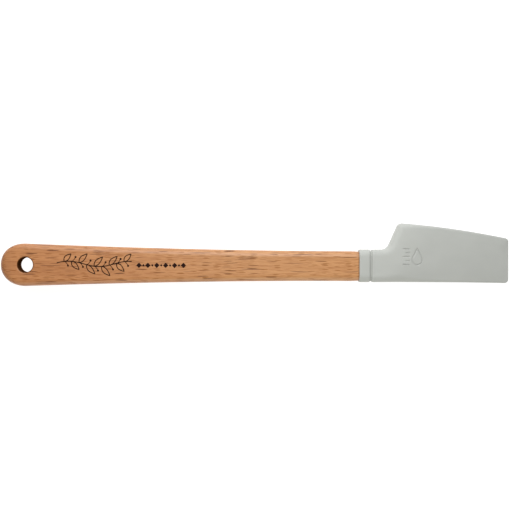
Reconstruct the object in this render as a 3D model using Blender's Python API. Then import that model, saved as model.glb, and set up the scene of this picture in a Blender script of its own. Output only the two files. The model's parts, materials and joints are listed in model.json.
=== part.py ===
"""Ink knife: a flat beech handle with a small bending silicone blade.

The tool lies flat. In the tool's own frame x runs from the butt of the handle (0) to the working edge,
y runs across it from the handle's centre line, and z is the height from the middle of its thickness.
The parent empty "tool" puts that frame in the world, where the origin is the centre of the underside.
All sizes are in metres.
"""

import math

import bmesh
import bpy
from mathutils import Vector
from mathutils.geometry import delaunay_2d_cdt

# Whole tool
LENGTH = 0.1700
CLEARANCE = 0.0003  # between pieces that stand face to face
GLUE_GAP = 0.00005  # between pieces that are glued or moulded together
END_CHAMFER = 0.0003  # on the ends of the spigot and of the insert's plate
CUT_OVERLAP = 0.0020  # how far forms and cutters run past the faces they join or cut

# Handle
HANDLE_THICKNESS = 0.0070
BUTT_WIDTH = 0.0142
BUTT_LENGTH = 0.0087  # from the end to the widest place
BUTT_POWER = 2.05  # of the superellipse that rounds the end
WAIST_WIDTH = 0.0100
WAIST_AT = 0.1100
TAPER_POWER = 1.75
SHOULDER_AT = 0.1204  # where the full section ends, just inside the collar
SHOULDER_WIDTH = 0.0096
SHOULDER_EASE = 0.0040  # length over which the waist narrows to the shoulder
HANDLE_ROUNDOVER = 0.0020
HOLE_AT = 0.0085
HOLE_RADIUS = 0.0025
HOLE_EASE = 0.0005
SPIGOT_END = 0.1232
SPIGOT_WIDTH = 0.0082
SPIGOT_THICKNESS = 0.0056
SPIGOT_ROUNDING = 0.0016

# Insert and its glue, in a blind bore in the spigot
BORE_RADIUS = 0.0021
BORE_START = 0.1078
POST_RADIUS = 0.0017
POST_START = 0.1084
GLUE_SETBACK = 0.0004  # of the glue from the end of the spigot
PLATE_START = 0.1233
PLATE_END = 0.1375
PLATE_WIDTH = 0.0074
PLATE_THICKNESS = 0.0026
PLATE_ROUNDING = 0.0008
KEY_RADIUS = 0.0010
KEYS_AT = (0.1285, 0.1335)

# Collar and the neck of the head, which share one section
COLLAR_START = 0.1198
COLLAR_END = 0.1236
COLLAR_EASE = 0.0005
LIP_SHARE = 0.3  # of that ease, on the lip round the wood
MOUTH_DEPTH = 0.0009  # how far the full section of the wood goes in
MOUTH_SLACK = 0.0001  # all round the wood
NECK_WIDTH = 0.01095
NECK_CENTRE = 0.00013  # how far the mouldings sit off the handle's centre line, towards the crest
NECK_THICKNESS = 0.0079
NECK_ROUNDING = 0.0025

# Outline of the head
HEAD_START = COLLAR_END + CLEARANCE
RISE_AT = 0.1291  # where the slanted back would meet the top of the neck
RISE_FILLET = 0.0030
CREST = Vector((0.1330, 0.0145))
CREST_FILLET = 0.0018
EDGE_TOP = 0.0094
EDGE_BOTTOM = -0.0055
EDGE_FILLET = 0.0009
TOP_BULGE = 0.0006
BOTTOM_HOLLOW = 0.00015

# Thickness of the head
TAPER_START = 0.1270
EDGE_THICKNESS = 0.0014
WEDGE_POWER = 1.15
# Rounding of the head's rim, as (x, radius)
RIM_ROUNDING = ((0.1320, NECK_ROUNDING), (0.1380, 0.0013), (0.1440, 0.0009), (0.1700, 0.00045))

# Bending: (x of the hinge axis, degrees each way)
HINGES = {"blade_heel": (0.1460, 9.0), "blade_middle": (0.1545, 14.0), "blade_edge": (0.1630, 18.0)}
HINGE_SPARE = math.radians(0.75)

SAME_PLACE = 1e-6
SMALLEST_ROUNDING = 0.0002
ROUNDING_LIMIT = 0.9  # share of the half thickness that a rim's rounding may take

# Fineness of the meshes
SIDES = 32
ARC_STEPS = 6
RIM_STEPS = 4
OUTLINE_STEP = 0.0013
GRID_STEP = 0.0022


def clear_scene():
    for thing in list(bpy.data.objects):
        bpy.data.objects.remove(thing)


def material(name, colour, roughness, metallic=0.0):
    made = bpy.data.materials.new(name)
    made.use_nodes = True
    shader = made.node_tree.nodes["Principled BSDF"]
    shader.inputs["Base Color"].default_value = (*colour, 1.0)
    shader.inputs["Roughness"].default_value = roughness
    shader.inputs["Metallic"].default_value = metallic
    return made


def empty(name, place, parent=None):
    made = bpy.data.objects.new(name, None)
    bpy.context.scene.collection.objects.link(made)
    made.parent = parent
    made.location = place
    return made


def add_object(name, bm, parent, looks=None, at=(0.0, 0.0, 0.0)):
    """An object from a bmesh in the tool's frame. Its origin is at the place given in that frame."""
    bmesh.ops.translate(bm, verts=bm.verts, vec=-Vector(at))
    bmesh.ops.recalc_face_normals(bm, faces=bm.faces)
    mesh = bpy.data.meshes.new(name)
    bm.to_mesh(mesh)
    bm.free()
    mesh.shade_smooth()
    mesh.set_sharp_from_angle(angle=math.radians(35))
    made = bpy.data.objects.new(name, mesh)
    bpy.context.scene.collection.objects.link(made)
    made.parent = parent
    if looks is None:
        made.hide_render = True
        made.display_type = "WIRE"
    else:
        mesh.materials.append(looks)
    return made


def boolean(target, other, operation):
    modifier = target.modifiers.new(f"{operation.lower()}_{other.name}", "BOOLEAN")
    modifier.operation = operation
    modifier.solver = "EXACT"
    modifier.object = other


# Loops of points, and solids made by bridging them


def bridge(bm, first, second):
    count = len(first)
    for i in range(count):
        j = (i + 1) % count
        bm.faces.new((first[i], first[j], second[j], second[i]))


def loft(loops, closed=False):
    """A solid through loops of equal length: capped at both ends, or closed round into a ring."""
    bm = bmesh.new()
    rows = [[bm.verts.new(point) for point in loop] for loop in loops]
    for first, second in zip(rows, rows[1:]):
        bridge(bm, first, second)
    if closed:
        bridge(bm, rows[-1], rows[0])
    else:
        bm.faces.new(rows[0])
        bm.faces.new(rows[-1])
    return bm


def rounded_section(x, width, thickness, rounding, inset=0.0, centre=0.0):
    """A rounded rectangle across the tool at x, drawn in by the inset, with its middle at the y given."""
    radius = max(rounding - inset, SMALLEST_ROUNDING)
    across = width / 2 - inset - radius
    up = thickness / 2 - inset - radius
    points = []
    for corner, (side_y, side_z) in enumerate(((1, 1), (-1, 1), (-1, -1), (1, -1))):
        for step in range(ARC_STEPS + 1):
            turn = math.radians(90 * (corner + step / ARC_STEPS))
            y = centre + side_y * across + radius * math.cos(turn)
            z = side_z * up + radius * math.sin(turn)
            points.append(Vector((x, y, z)))
    return points


def round_section(x, radius):
    turns = [2 * math.pi * (i + 0.5) / SIDES for i in range(SIDES)]
    return [Vector((x, radius * math.cos(turn), radius * math.sin(turn))) for turn in turns]


def round_solid(stations):
    """A solid of revolution along x, from (x, radius) stations."""
    return loft([round_section(x, radius) for x, radius in stations])


def upright_cylinder(x, radius, low, high, ease=0.0):
    """A cylinder along z that flares by the ease at both ends."""
    stations = [(low, radius + ease), (high, radius + ease)]
    if ease:
        turns = [math.radians(90 * i / ARC_STEPS) for i in range(ARC_STEPS + 1)]
        top = [
            (HANDLE_THICKNESS / 2 - ease * math.cos(turn), radius + ease * (1 - math.sin(turn)))
            for turn in reversed(turns)
        ]
        bottom = [(-z, r) for z, r in reversed(top)]
        stations = [stations[0], *bottom, *top, stations[1]]
    loops = []
    for z, r in stations:
        turns = [2 * math.pi * i / SIDES for i in range(SIDES)]
        loops.append([Vector((x + r * math.cos(t), r * math.sin(t), z)) for t in turns])
    return loft(loops)


# Handle


def handle_half_width(x):
    reach = max(WAIST_AT - x, 0.0) / (WAIST_AT - BUTT_LENGTH)
    width = WAIST_WIDTH + (BUTT_WIDTH - WAIST_WIDTH) * reach**TAPER_POWER
    into_ease = max(x - (SHOULDER_AT - SHOULDER_EASE), 0.0) / SHOULDER_EASE
    width -= (WAIST_WIDTH - SHOULDER_WIDTH) * into_ease**2
    if x < BUTT_LENGTH:
        width *= (1 - (1 - x / BUTT_LENGTH) ** BUTT_POWER) ** (1 / BUTT_POWER)
    return width / 2


def handle_outline():
    """The whole outline, from the butt along +y to the shoulder and back along -y."""
    round_steps, long_steps = 12, 26
    stations = []
    for i in range(round_steps):
        turn = math.radians(90 * i / round_steps)
        stations.append(BUTT_LENGTH * (1 - math.cos(turn) ** (2 / BUTT_POWER)))
    span = SHOULDER_AT - BUTT_LENGTH
    stations += [BUTT_LENGTH + span * i / long_steps for i in range(long_steps + 1)]
    upper = [Vector((x, handle_half_width(x))) for x in stations]
    lower = [Vector((p.x, -p.y)) for p in reversed(upper[1:])]
    return upper + lower


def drawn_in(outline, inset):
    """The outline moved in along its normals. The straight end at the shoulder stays where it is."""
    moved = []
    count = len(outline)
    for i, point in enumerate(outline):
        before, after = outline[i - 1], outline[(i + 1) % count]
        if point.x > SHOULDER_AT - SAME_PLACE:
            moved.append(Vector((point.x, point.y - math.copysign(inset, point.y))))
            continue
        along = (after - before).normalized()
        moved.append(point + inset * Vector((along.y, -along.x)))
    return moved


def handle_blank():
    outline = handle_outline()
    half = HANDLE_THICKNESS / 2
    levels = []
    for step in range(ARC_STEPS + 1):
        turn = math.radians(90 * step / ARC_STEPS)
        inset = HANDLE_ROUNDOVER * (1 - math.cos(turn))
        height = half - HANDLE_ROUNDOVER * (1 - math.sin(turn))
        levels.append((inset, height))
    stack = [(inset, -height) for inset, height in reversed(levels)] + levels
    loops = [[p.to_3d() + Vector((0, 0, z)) for p in drawn_in(outline, inset)] for inset, z in stack]
    return loft(loops)


def make_handle(tool):
    beech = material("beech", (0.52, 0.27, 0.125), 0.55)
    handle = add_object("handle", handle_blank(), tool, beech)
    spigot_loops = [
        rounded_section(x, SPIGOT_WIDTH, SPIGOT_THICKNESS, SPIGOT_ROUNDING, inset)
        for x, inset in (
            (SHOULDER_AT - CUT_OVERLAP, 0.0),
            (SPIGOT_END - END_CHAMFER, 0.0),
            (SPIGOT_END, END_CHAMFER),
        )
    ]
    boolean(handle, add_object("spigot_form", loft(spigot_loops), tool), "UNION")
    hole = upright_cylinder(HOLE_AT, HOLE_RADIUS, -HANDLE_THICKNESS, HANDLE_THICKNESS, HOLE_EASE)
    boolean(handle, add_object("hole_cutter", hole, tool), "DIFFERENCE")
    bore = round_solid([(BORE_START, BORE_RADIUS), (SPIGOT_END + CUT_OVERLAP, BORE_RADIUS)])
    boolean(handle, add_object("bore_cutter", bore, tool), "DIFFERENCE")


# Collar


def make_collar(tool):
    """A ring: its mouth takes the full section of the wood, and the rest of it the spigot."""
    silicone = material("collar_silicone", (0.52, 0.53, 0.50), 0.55)
    mouth_end = COLLAR_START + MOUTH_DEPTH
    mouth = (
        SHOULDER_WIDTH + 2 * MOUTH_SLACK,
        HANDLE_THICKNESS + 2 * MOUTH_SLACK,
        HANDLE_ROUNDOVER + MOUTH_SLACK,
    )
    passage = (SPIGOT_WIDTH + 2 * CLEARANCE, SPIGOT_THICKNESS + 2 * CLEARANCE, SPIGOT_ROUNDING)
    outside = []
    for step in range(ARC_STEPS + 1):
        turn = math.radians(90 * step / ARC_STEPS)
        outside.append((COLLAR_EASE * (1 - math.sin(turn)), COLLAR_EASE * (1 - math.cos(turn))))
    outer = [(COLLAR_START + LIP_SHARE * along, LIP_SHARE * inset) for inset, along in outside]
    outer += [(COLLAR_END - along, inset) for inset, along in reversed(outside)]
    neck = (NECK_WIDTH, NECK_THICKNESS, NECK_ROUNDING)
    loops = [rounded_section(x, *neck, inset, NECK_CENTRE) for x, inset in outer]
    loops += [
        rounded_section(COLLAR_END, *passage),
        rounded_section(mouth_end, *passage),
        rounded_section(mouth_end, *mouth),
        rounded_section(COLLAR_START, *mouth),
    ]
    add_object("collar", loft(loops, closed=True), tool, silicone)


# Insert and glue


def make_insert(tool):
    nylon = material("insert_nylon", (0.72, 0.70, 0.64), 0.45)
    post = round_solid([(POST_START, POST_RADIUS), (PLATE_START + CLEARANCE, POST_RADIUS)])
    insert = add_object("core_insert", post, tool, nylon)
    plate = [
        rounded_section(x, PLATE_WIDTH, PLATE_THICKNESS, PLATE_ROUNDING, inset)
        for x, inset in (
            (PLATE_START, END_CHAMFER),
            (PLATE_START + END_CHAMFER, 0.0),
            (PLATE_END - END_CHAMFER, 0.0),
            (PLATE_END, END_CHAMFER),
        )
    ]
    boolean(insert, add_object("plate_form", loft(plate), tool), "UNION")
    for number, x in enumerate(KEYS_AT, 1):
        hole = upright_cylinder(x, KEY_RADIUS + GLUE_GAP, -PLATE_THICKNESS, PLATE_THICKNESS)
        boolean(insert, add_object(f"key_hole_cutter_{number}", hole, tool), "DIFFERENCE")


def make_glue(tool):
    """A cup of cured glue: it fills the bore round the post and behind it."""
    epoxy = material("cured_glue", (0.70, 0.55, 0.30), 0.3)
    outer = BORE_RADIUS - GLUE_GAP
    inner = POST_RADIUS + GLUE_GAP
    start = BORE_START + GLUE_GAP
    mouth = SPIGOT_END - GLUE_SETBACK
    stations = [(start, outer), (mouth, outer), (mouth, inner), (POST_START - GLUE_GAP, inner)]
    add_object("core_adhesive", round_solid(stations), tool, epoxy)


# Blade head


def half_thickness(x):
    reach = min(max((x - TAPER_START) / (LENGTH - TAPER_START), 0.0), 1.0)
    thin, thick = EDGE_THICKNESS / 2, NECK_THICKNESS / 2
    return thin + (thick - thin) * (1 - reach**WEDGE_POWER)


def rim_rounding(x):
    if x <= RIM_ROUNDING[0][0]:
        return RIM_ROUNDING[0][1]
    for (x0, r0), (x1, r1) in zip(RIM_ROUNDING, RIM_ROUNDING[1:]):
        if x <= x1:
            return r0 + (r1 - r0) * (x - x0) / (x1 - x0)
    return RIM_ROUNDING[-1][1]


def bowed(start, end, bulge):
    """Points from start to end on a shallow curve that stands off its chord by the bulge."""
    chord = end - start
    steps = max(int(chord.length / OUTLINE_STEP), 1)
    side = Vector((-chord.y, chord.x)).normalized()
    ratios = [i / steps for i in range(steps + 1)]
    return [start + t * chord + 4 * bulge * t * (1 - t) * side for t in ratios]


def filleted(before, corner, after, radius):
    """The round that replaces a corner between two straight or nearly straight runs."""
    inward = (before - corner).normalized()
    outward = (after - corner).normalized()
    half = inward.angle(outward) / 2
    centre = corner + (inward + outward).normalized() * (radius / math.sin(half))
    start = corner + inward * (radius / math.tan(half)) - centre
    end = corner + outward * (radius / math.tan(half)) - centre
    sweep = math.atan2(start.cross(end), start.dot(end))
    points = []
    for step in range(ARC_STEPS + 1):
        turn = sweep * step / ARC_STEPS
        cos, sin = math.cos(turn), math.sin(turn)
        points.append(centre + Vector((start.x * cos - start.y * sin, start.x * sin + start.y * cos)))
    return points


def head_rim():
    """The rim of the head from the top of the neck, over the blade, to the bottom of the neck."""
    neck_top = Vector((HEAD_START, NECK_CENTRE + NECK_WIDTH / 2))
    neck_bottom = Vector((HEAD_START, NECK_CENTRE - NECK_WIDTH / 2))
    rise = Vector((RISE_AT, neck_top.y))
    edge_top = Vector((LENGTH, EDGE_TOP))
    edge_bottom = Vector((LENGTH, EDGE_BOTTOM))
    top = bowed(edge_top, CREST, -TOP_BULGE)[::-1]
    bottom = bowed(edge_bottom, neck_bottom, -BOTTOM_HOLLOW)
    rise_round = filleted(neck_top, rise, CREST, RISE_FILLET)
    crest_round = filleted(rise, CREST, top[1], CREST_FILLET)
    upper_round = filleted(top[-2], edge_top, edge_bottom, EDGE_FILLET)
    lower_round = filleted(edge_top, edge_bottom, bottom[1], EDGE_FILLET)
    past_crest = [p for p in top if crest_round[-1].x < p.x < upper_round[0].x]
    back_to_neck = [p for p in bottom if p.x < lower_round[-1].x]
    runs = [
        bowed(neck_top, rise_round[0], 0.0)[:-1],
        rise_round[:-1],
        bowed(rise_round[-1], crest_round[0], 0.0)[:-1],
        crest_round,
        past_crest,
        upper_round[:-1],
        bowed(upper_round[-1], lower_round[0], 0.0)[:-1],
        lower_round,
        back_to_neck,
    ]
    return [point for run in runs for point in run]


def distance_to_rim(point, rim):
    best = math.inf
    for start, end in zip(rim, rim[1:]):
        run = end - start
        ratio = min(max((point - start).dot(run) / run.length_squared, 0.0), 1.0)
        best = min(best, (point - start - ratio * run).length)
    return best


def surface_height(point, distance):
    """Height of the upper face over the middle of the thickness, with its rim rounded over."""
    half = half_thickness(point.x)
    radius = min(rim_rounding(point.x), ROUNDING_LIMIT * half)
    if distance >= radius:
        return half
    return half - radius + math.sqrt(radius**2 - (radius - distance) ** 2)


def rim_insets(x):
    radius = min(rim_rounding(x), ROUNDING_LIMIT * half_thickness(x))
    turns = [math.radians(90 * step / RIM_STEPS) for step in range(1, RIM_STEPS + 1)]
    return [radius * (1 - math.cos(turn)) for turn in turns]


def inner_points(rim):
    """Rows of points along the rounded rim, and a grid over the flat part inside it."""
    points = []
    for i in range(1, len(rim) - 1):
        along = (rim[i + 1] - rim[i - 1]).normalized()
        for inset in rim_insets(rim[i].x):
            place = rim[i] + inset * Vector((along.y, -along.x))
            if place.x > HEAD_START + 0.0001 and distance_to_rim(place, rim) > 0.97 * inset:
                points.append(place)
    columns = int((LENGTH - HEAD_START) / GRID_STEP)
    rows = int((CREST.y - EDGE_BOTTOM) / GRID_STEP)
    for column in range(1, columns + 1):
        for row in range(rows + 1):
            place = Vector((HEAD_START + column * GRID_STEP, EDGE_BOTTOM + row * GRID_STEP))
            inside = place.y < head_top_at(place.x, rim)
            if inside and distance_to_rim(place, rim) > rim_rounding(place.x) + 0.3 * GRID_STEP:
                points.append(place)
    return points


def head_top_at(x, rim):
    """Where the upper run of the rim passes x."""
    for start, end in zip(rim, rim[1:]):
        if start.x <= x < end.x:
            return start.y + (end.y - start.y) * (x - start.x) / (end.x - start.x)
    return EDGE_TOP


def head_blank():
    """The whole head: the same surface above and below, joined by a wall along its outline."""
    rim = head_rim()
    depths = [NECK_WIDTH / 2 - inset for inset in rim_insets(HEAD_START)]
    neck_face = [Vector((HEAD_START, NECK_CENTRE + y)) for y in [-d for d in depths] + depths[::-1]]
    outline = rim + neck_face
    flat = outline + inner_points(rim)
    loop = [list(range(len(outline)))]
    points, _, faces, sources, _, _ = delaunay_2d_cdt(flat, [], loop, 1, 1e-7)
    place_of = {old: new for new, olds in enumerate(sources) for old in olds}
    bm = bmesh.new()
    heights = [surface_height(p, distance_to_rim(p, rim)) for p in points]
    top = [bm.verts.new((p.x, p.y, z)) for p, z in zip(points, heights)]
    bottom = [bm.verts.new((p.x, p.y, -z)) for p, z in zip(points, heights)]
    for face in faces:
        bm.faces.new([top[i] for i in face])
        bm.faces.new([bottom[i] for i in reversed(face)])
    ring = [place_of[i] for i in range(len(outline))]
    for i, j in zip(ring, ring[1:] + ring[:1]):
        bm.faces.new((top[i], top[j], bottom[j], bottom[i]))
    return bm


def slab(start, end, start_slope, end_slope):
    """A slab across the head, whose two ends slope back from the middle of the thickness."""
    high = NECK_THICKNESS
    back, front = start + high * math.tan(start_slope), end - high * math.tan(end_slope)
    section = [(start, 0), (back, -high), (front, -high), (end, 0), (front, high), (back, high)]
    sides = (-NECK_WIDTH, CREST.y + CUT_OVERLAP)
    return loft([[Vector((x, y, z)) for x, z in section] for y in sides])


def make_root(tool, silicone):
    first_axis, first_turn = HINGES["blade_heel"]
    end_slope = math.radians(first_turn) / 2 + HINGE_SPARE
    root = add_object("blade_root", head_blank(), tool, silicone)
    keep = slab(HEAD_START - CUT_OVERLAP, first_axis - CLEARANCE / 2, 0.0, end_slope)
    boolean(root, add_object("root_slab", keep, tool), "INTERSECT")
    pocket = [
        rounded_section(x, PLATE_WIDTH + 2 * GLUE_GAP, PLATE_THICKNESS + 2 * GLUE_GAP, PLATE_ROUNDING)
        for x in (HEAD_START - CUT_OVERLAP, PLATE_END + GLUE_GAP)
    ]
    boolean(root, add_object("pocket_cutter", loft(pocket), tool), "DIFFERENCE")
    for number, x in enumerate(KEYS_AT, 1):
        key = upright_cylinder(x, KEY_RADIUS, -PLATE_THICKNESS, PLATE_THICKNESS)
        boolean(root, add_object(f"key_form_{number}", key, tool), "UNION")


def make_bending_pieces(tool, silicone):
    """The three pieces that bend, each parented to an empty on its hinge axis."""
    names = list(HINGES)
    for name, following in zip(names, names[1:] + [None]):
        axis_x, turn = HINGES[name]
        start_slope = math.radians(turn) / 2 + HINGE_SPARE
        end, end_slope = LENGTH + CUT_OVERLAP, 0.0
        if following:
            end = HINGES[following][0] - CLEARANCE / 2
            end_slope = math.radians(HINGES[following][1]) / 2 + HINGE_SPARE
        axis = (axis_x, 0.0, 0.0)
        hinge = empty(f"{name}_hinge", axis, tool)
        piece = add_object(name, head_blank(), hinge, silicone, axis)
        keep = slab(axis_x + CLEARANCE / 2, end, start_slope, end_slope)
        boolean(piece, add_object(f"{name}_slab", keep, hinge, at=axis), "INTERSECT")


def main():
    clear_scene()
    rim = head_rim()
    middle_y = (max(p.y for p in rim) - max(p.y for p in handle_outline())) / 2
    tool = empty("tool", (-LENGTH / 2, -middle_y, NECK_THICKNESS / 2))
    make_handle(tool)
    make_insert(tool)
    make_glue(tool)
    make_collar(tool)
    silicone = material("blade_silicone", (0.50, 0.51, 0.48), 0.5)
    make_root(tool, silicone)
    make_bending_pieces(tool, silicone)


main()
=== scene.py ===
"""Looks of the ink knife: beech handle, silicone collar and bending silicone blade.

Everything is in metres. The pieces are modelled in the tool's own frame, like the CAD: x runs from the butt
of the handle to the working edge, y across from the handle's centre line, z up from mid-thickness.
"""

import json
import math

import bmesh
import bpy
import numpy as np
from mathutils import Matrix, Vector
from mathutils.geometry import delaunay_2d_cdt


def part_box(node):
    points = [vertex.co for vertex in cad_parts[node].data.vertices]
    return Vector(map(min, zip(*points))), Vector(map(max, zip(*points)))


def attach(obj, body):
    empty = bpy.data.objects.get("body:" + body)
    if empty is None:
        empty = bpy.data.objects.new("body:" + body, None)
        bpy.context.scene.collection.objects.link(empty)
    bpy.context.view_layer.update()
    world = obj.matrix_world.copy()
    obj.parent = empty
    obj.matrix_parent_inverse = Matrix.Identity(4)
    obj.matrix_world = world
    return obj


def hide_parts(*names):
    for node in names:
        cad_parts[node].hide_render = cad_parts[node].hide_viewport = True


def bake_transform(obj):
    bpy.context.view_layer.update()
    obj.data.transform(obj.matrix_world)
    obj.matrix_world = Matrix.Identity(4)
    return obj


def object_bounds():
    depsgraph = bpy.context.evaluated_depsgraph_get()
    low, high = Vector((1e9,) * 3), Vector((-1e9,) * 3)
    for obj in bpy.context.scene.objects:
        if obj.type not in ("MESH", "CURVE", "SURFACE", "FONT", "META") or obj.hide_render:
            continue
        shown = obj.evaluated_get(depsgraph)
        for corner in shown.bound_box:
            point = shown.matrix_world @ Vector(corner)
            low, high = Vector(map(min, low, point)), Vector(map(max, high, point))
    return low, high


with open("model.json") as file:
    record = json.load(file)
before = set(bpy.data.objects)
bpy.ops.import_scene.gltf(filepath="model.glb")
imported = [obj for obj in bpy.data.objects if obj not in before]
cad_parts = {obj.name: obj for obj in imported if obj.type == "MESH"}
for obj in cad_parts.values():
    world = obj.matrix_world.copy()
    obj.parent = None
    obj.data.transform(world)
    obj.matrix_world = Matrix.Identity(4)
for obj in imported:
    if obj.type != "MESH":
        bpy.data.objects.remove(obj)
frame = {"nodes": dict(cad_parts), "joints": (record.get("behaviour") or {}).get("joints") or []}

CAD_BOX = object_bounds()

# Places that come from the frame
HANDLE_LOW, HANDLE_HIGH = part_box("handle")
COLLAR_LOW, COLLAR_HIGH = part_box("collar")
HEAD_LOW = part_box("blade_root")[0]
HEAD_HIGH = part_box("blade_edge")[1]
ORIGIN = Vector((
    HANDLE_LOW.x,
    (HANDLE_LOW.y + HANDLE_HIGH.y) / 2,
    (COLLAR_LOW.z + COLLAR_HIGH.z) / 2,
))
HINGE_X = {joint["child"]: joint["pos_m"][0] - ORIGIN.x for joint in frame["joints"]}
COLLAR_START = COLLAR_LOW.x - ORIGIN.x
COLLAR_END = COLLAR_HIGH.x - ORIGIN.x
HEAD_START = HEAD_LOW.x - ORIGIN.x
LENGTH = HEAD_HIGH.x - ORIGIN.x
NECK_THICKNESS = COLLAR_HIGH.z - COLLAR_LOW.z
NECK_WIDTH = COLLAR_HIGH.y - COLLAR_LOW.y
NECK_CENTRE = (COLLAR_LOW.y + COLLAR_HIGH.y) / 2 - ORIGIN.y
HANDLE_THICKNESS = HANDLE_HIGH.z - HANDLE_LOW.z
BUTT_WIDTH = HANDLE_HIGH.y - HANDLE_LOW.y

# Handle
BUTT_LENGTH = 0.0087
BUTT_POWER = 2.05
BUTT_POWER_HIGH = 2.15  # the sanded butt is a little fuller on the +y side
WAIST_WIDTH = 0.0100
WAIST_AT = 0.1100
TAPER_POWER = 1.75
SHOULDER_AT = COLLAR_START + 0.0006
SHOULDER_WIDTH = 0.0096
SHOULDER_EASE = 0.0040
HANDLE_ROUNDOVER = 0.0020
HOLE_AT = 0.0085
HOLE_RADIUS = 0.0025
HOLE_EASE = 0.0005
SPIGOT_END = HANDLE_HIGH.x - ORIGIN.x
SPIGOT_WIDTH = 0.0082
SPIGOT_THICKNESS = 0.0056
SPIGOT_ROUNDING = 0.0016
SPIGOT_CHAMFER = 0.0003
SPIGOT_ROOT = 0.0010  # how far the spigot starts inside the wood

# Collar
COLLAR_LIP = 0.00030
COLLAR_EASE = 0.0008
GROOVE_DEPTH = 0.00062
TONGUE_INTO_HEAD = 0.00008
TONGUE_START = COLLAR_END - 0.00002
PASSAGE_SLACK = 0.0004
MOUTH_SLACK = 0.0002
MOUTH_DEPTH = 0.0003  # how far the mouth reaches past the shoulder of the wood

# Head
NECK_ROUNDING = 0.0025
NECK_EASE = 0.00070
RISE_AT = 0.1291
RISE_FILLET = 0.0030
CREST = Vector((0.1330, 0.0145))
CREST_FILLET = 0.0018
EDGE_TOP = 0.0094
EDGE_BOTTOM = -0.0055
EDGE_FILLET = 0.0012
TOP_BULGE = 0.0006
BOTTOM_HOLLOW = 0.00015
TAPER_START = 0.1270
EDGE_THICKNESS = 0.0014
WEDGE_POWER = 1.15
RIM_X = (0.1275, 0.1325, 0.1385, 0.1450, 0.1700)
RIM_REACH = (NECK_ROUNDING, 0.0030, 0.0015, 0.0009, 0.00050)
RIM_POWER = 2.4
RIM_SHARE = 0.85  # of the half thickness, at most
CROWN_REACH = 0.0060
CROWN_DROP = 0.00060
CROWN_AT_EDGE = 0.45

# Marks pressed into the head
MARK_DEPTH = 0.00022
MARK_STROKE = 0.00038
MARK_EDGE = 0.00012
DROP_CENTRE = Vector((0.1391, 0.0022))
DROP_RADIUS = 0.0017
DROP_POINT = 0.0037
TICKS_X = (0.1345, 0.1364)
TICKS_Y = (0.0006, 0.0058)
TICK_COUNT = 5
MARK_MARGIN = 0.0006

# Ink ornament on the handle
INK_HEIGHT = 0.00002
SPRIG_X = (0.0190, 0.0440)
SPRIG_Y = 0.0004
SPRIG_SWAY = 0.0009
SPRIG_STEPS = 60
BEADS_X = (0.0464, 0.0612)
BEAD_COUNT = 11
BIG_BEAD = 0.00090
SMALL_BEAD = 0.00042
INK_STROKE = 0.00030
LEAF_COUNT = 9
LEAF_STEPS = 14
LEAF_LENGTH = 0.0042
LEAF_LEAN = math.radians(48)
LEAF_BELLIES = (0.0009, -0.0006)
BUD_STEM = 0.0019
BUD_BELLY = 0.0002
BUD_RADIUS = 0.00020
BUD_SIDES = 10

# Stage, light and camera
FLOOR_SIZE = 3.0
FLOOR_DROP = 0.0065  # the blade can bend down this far without meeting the floor
FLOOR_GLOW = 0.80
SKY_LIGHT = 0.42
CAMERA_LENS = 85.0
CAMERA_RISE = 0.4043  # over the middle of the tool
CAMERA_SHIFT = -0.00007
CAMERA_TURN = math.radians(0.24)
CAMERA_RANGE = (0.01, 10.0)

# Colours
PALE_BEECH = (0.550, 0.268, 0.099, 1)
DEEP_BEECH = (0.480, 0.221, 0.075, 1)
STREAK = (0.320, 0.112, 0.018, 1)
FIBRE = (0.33, 0.13, 0.045, 1)
SMALL_FLECK = (0.230, 0.075, 0.008, 1)
BIG_FLECK = (0.100, 0.026, 0.002, 1)
LONG_FLECK = (0.120, 0.034, 0.003, 1)
BUTT_END_TINT = (0.91, 0.80, 0.72, 1)
# Painted shade for the hole's wall (partly darker drilled wood), the line at the collar and the butt's end
SHADED_WOOD = (0.050, 0.016, 0.005, 1)
FRESH_INK = (0.010, 0.002, 0.001, 1)
WORN_INK = (0.050, 0.016, 0.006, 1)
COLLAR_SILICONE = (0.411, 0.424, 0.398)
BLADE_SILICONE = (0.418, 0.430, 0.405)
NYLON = (0.72, 0.70, 0.64)
EPOXY = (0.70, 0.55, 0.30)
WHITE = (1, 1, 1, 1)

# Fineness
OUTLINE_STEP = 0.0004
ARC_STEPS = 10
RIM_STEPS = 9
GRID_STEP = 0.0008
FINE_STEP = 0.00014
HANDLE_GRID = 0.0014
HANDLE_STEP = 0.0010
BUTT_STEPS = 36
HOLE_SIDES = 64
HOLE_STEPS = 6
CORNER_STEPS = 5
NECK_COLUMNS = 40
DROP_STEPS = 40
SAME_POINT = 1e-8
RIM_CLEARANCE = 0.0004
ROUND_MARGIN = 0.00015  # from the end of a rounding to the next row of points
NECK_MARGIN = 0.0001
SPLIT_MARGIN = 0.00012


# Plane geometry


def bowed(start, end, bulge=0.0):
    """Points from start to end on a shallow curve that stands off its chord by the bulge."""
    chord = end - start
    steps = max(int(chord.length / OUTLINE_STEP), 1)
    side = Vector((-chord.y, chord.x)).normalized()
    ratios = [i / steps for i in range(steps + 1)]
    return [start + t * chord + 4 * bulge * t * (1 - t) * side for t in ratios]


def filleted(before, corner, after, radius):
    """The round that replaces a corner between two nearly straight runs."""
    inward = (before - corner).normalized()
    outward = (after - corner).normalized()
    half = inward.angle(outward) / 2
    centre = corner + (inward + outward).normalized() * (radius / math.sin(half))
    start = corner + inward * (radius / math.tan(half)) - centre
    end = corner + outward * (radius / math.tan(half)) - centre
    sweep = math.atan2(start.cross(end), start.dot(end))
    points = []
    for step in range(ARC_STEPS + 1):
        turn = sweep * step / ARC_STEPS
        cos, sin = math.cos(turn), math.sin(turn)
        points.append(centre + Vector((start.x * cos - start.y * sin, start.x * sin + start.y * cos)))
    return points


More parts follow.
